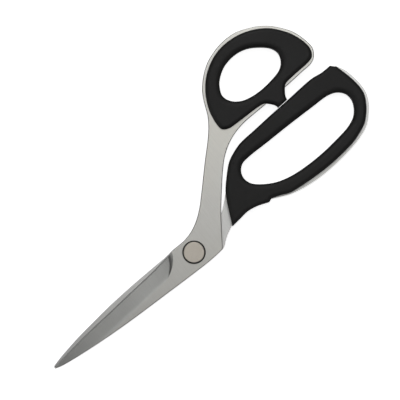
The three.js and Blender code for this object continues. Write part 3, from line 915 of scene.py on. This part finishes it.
def nylon(name):
    """Smooth black plastic."""
    paint = Paint(name)
    cloud = paint.noise(420, 3.0, 0.6)
    paint.set(
        Base_Color=paint.blend(paint.ramp(cloud, 0.3, 0.7), (0.012, 0.0115, 0.011), (0.022, 0.021, 0.019)),
        Roughness=paint.ramp(cloud, 0.3, 0.7, 0.42, 0.55),
    )
    paint.bump(cloud, 0.1, 0.00005)
    return paint.material


def elastomer(name):
    """Soft matt black moulding with a fine spark-eroded grain."""
    paint = Paint(name)
    grain = paint.noise(3200, 2.0, 0.6)
    cloud = paint.noise(60, 3.0, 0.5)
    paint.set(
        Base_Color=paint.blend(
            paint.ramp(cloud, 0.3, 0.7), (0.0075, 0.0074, 0.0072), (0.0165, 0.016, 0.0155),
        ),
        Roughness=paint.ramp(cloud, 0.3, 0.7, 0.5, 0.62),
        Specular_IOR_Level=0.35,
    )
    paint.bump(grain, 0.4, 0.00006)
    return paint.material


def floor_paint():
    """A pale matt floor that glows to the camera only, and lights the object like plain paper."""
    paint = Paint("studio_floor")
    cloud = paint.noise(3, 2.0, 0.5)
    seen = paint.node("ShaderNodeLightPath").outputs["Is Camera Ray"]
    paint.set(
        Base_Color=paint.blend(cloud, (0.93, 0.93, 0.93), (0.95, 0.95, 0.95)),
        Roughness=0.9,
        Emission_Color=(1.0, 1.0, 1.0),
        Emission_Strength=paint.math("MULTIPLY", seen, FLOOR_GLOW),
    )
    return paint.material


# ---------------------------------------------------------------- stage

IMAGE_WIDTH = 195.7  # how much of the plane at STEEL_TOP the square picture spans
VIEW_CENTRE = (17.50, 18.87)  # X and Y of the place right below the camera
VIEW_ROLL = math.radians(-36.3)
CAMERA_HEIGHT = 1500.0
STEEL_TOP = 8.75
FLOOR_GLOW = 0.85
FLOOR_REACH = 2.0  # metres from the origin to each side of the floor
FLOOR_GAP = 0.0002  # metres between the floor and the plane that the shears lie on
WORLD_COLOR = (0.75, 0.76, 0.78)
WORLD_STRENGTH = 0.05
LIGHT_DISTANCE = 0.7  # metres
LIGHT_SIZE = 0.35

# Softboxes: name, azimuth and elevation in degrees, power in watts.
LIGHTS = [
    ("key", 60, 70, 0.6),
    ("top", 90, 45, 0.7),
    ("upper_left", 120, 55, 0.4),
    ("left_rim", 210, 30, 0.6),
    ("right_rim", 330, 30, 0.3),
    ("overhead", 0, 90, 0.3),
]


def add_camera():
    data = bpy.data.cameras.new("camera")
    data.sensor_width = 36.0
    data.lens = data.sensor_width * (CAMERA_HEIGHT - STEEL_TOP) / IMAGE_WIDTH
    data.clip_end = 20
    camera = bpy.data.objects.new("camera", data)
    camera.location = (VIEW_CENTRE[0] * MM, VIEW_CENTRE[1] * MM, CAMERA_HEIGHT * MM)
    camera.rotation_euler = (0, 0, VIEW_ROLL)
    bpy.context.scene.collection.objects.link(camera)
    bpy.context.scene.camera = camera


def in_picture(right, up, height):
    """A point given in metres to the right and up in the picture, from its middle, and above the floor."""
    c, s = math.cos(VIEW_ROLL), math.sin(VIEW_ROLL)
    x = VIEW_CENTRE[0] * MM + c * right - s * up
    y = VIEW_CENTRE[1] * MM + s * right + c * up
    return Vector((x, y, height))


def add_softbox(name, azimuth, elevation, power):
    """A softbox at a direction from the middle of the picture, azimuth 0 to its right and 90 to its top."""
    reach = LIGHT_DISTANCE * math.cos(elevation)
    height = LIGHT_DISTANCE * math.sin(elevation)
    place = in_picture(reach * math.cos(azimuth), reach * math.sin(azimuth), height)
    data = bpy.data.lights.new(name, "AREA")
    data.shape = "RECTANGLE"
    data.size = LIGHT_SIZE
    data.size_y = LIGHT_SIZE
    data.energy = power
    light = bpy.data.objects.new(name, data)
    light.location = place
    light.rotation_euler = (in_picture(0, 0, 0) - place).to_track_quat("-Z", "Y").to_euler()
    bpy.context.scene.collection.objects.link(light)


def add_floor():
    mesh = bpy.data.meshes.new("studio_floor")
    r = FLOOR_REACH
    corners = [(-r, -r, 0), (r, -r, 0), (r, r, 0), (-r, r, 0)]
    mesh.from_pydata(corners, [], [(0, 1, 2, 3)])
    mesh.materials.append(floor_paint())
    floor = bpy.data.objects.new("studio_floor", mesh)
    floor.location = (0, 0, -FLOOR_GAP)
    bpy.context.scene.collection.objects.link(floor)


def add_world():
    world = bpy.data.worlds.new("studio")
    world.use_nodes = True
    background = world.node_tree.nodes["Background"]
    background.inputs["Color"].default_value = (*WORLD_COLOR, 1)
    background.inputs["Strength"].default_value = WORLD_STRENGTH
    bpy.context.scene.world = world


# ---------------------------------------------------------------- the shears

FLAT_NOISE_TURN = 0.25
BEVEL_NOISE_TURN = 0.05

flat_steel = satin_steel("satin_steel_flat", (0.60, 0.597, 0.58), (0.605, 0.592, 0.535), FLAT_NOISE_TURN)
bevel_steel = satin_steel("satin_steel_bevel", (0.60, 0.602, 0.585), (0.595, 0.60, 0.57), BEVEL_NOISE_TURN)
# The honed edge is rougher than the other faces, and its lighter colour is a painted highlight that brightens
# the thin line along the cutting edge.
honed_steel_painted_highlight = satin_steel(
    "satin_steel_honed_painted_highlight", (0.78, 0.78, 0.77), (0.78, 0.775, 0.75), BEVEL_NOISE_TURN, roughness=0.48,
)
lapped_steel = satin_steel("satin_steel_lapped", (0.68, 0.68, 0.67), (0.68, 0.675, 0.65), BEVEL_NOISE_TURN)
black = elastomer("elastomer_matt")

for node, side, body in (("thumb_blade", 1, "thumb_half"), ("finger_blade", -1, "finger_half")):
    piece = SteelHalf(node, side).make(node + "_steel", flat_steel, lapped_steel, bevel_steel, honed_steel_painted_highlight)
    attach(piece, body)
    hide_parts(node)

for node, body in (("thumb_grip", "thumb_half"), ("finger_grip", "finger_half")):
    piece = Grip(node).make(node + "_moulding", black)
    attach(piece, body)
    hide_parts(node)

screw_steel = turned_steel("screw_steel_turned", (0.56, 0.518, 0.454))
nut_steel = turned_steel("nut_steel_turned", (0.50, 0.47, 0.42), 0.38)
spring_steel = turned_steel("spring_steel", (0.34, 0.33, 0.32), 0.42)
black_nylon = nylon("nylon_black")
shoulder = node_box("thumb_blade")[0][2]
washer_bore = JOURNAL_RADIUS + SPRING_WASHER_PLAY

for node, slot, piece in (
    ("pivot_screw", "screw_steel", make_screw("pivot_screw", screw_steel)),
    ("head_washer", "nylon", make_head_washer("head_washer", black_nylon)),
    ("spring_washer", "spring_steel", make_spring_washer("spring_washer", washer_bore, spring_steel)),
    ("pivot_nut", "screw_steel", make_nut("pivot_nut", shoulder, nut_steel)),
):
    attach(piece, "thumb_half")
    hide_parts(node)

add_camera()
add_floor()
add_world()
for name, azimuth, elevation, power in LIGHTS:
    add_softbox(name, math.radians(azimuth), math.radians(elevation), power)
bpy.context.scene.view_settings.view_transform = "Standard"
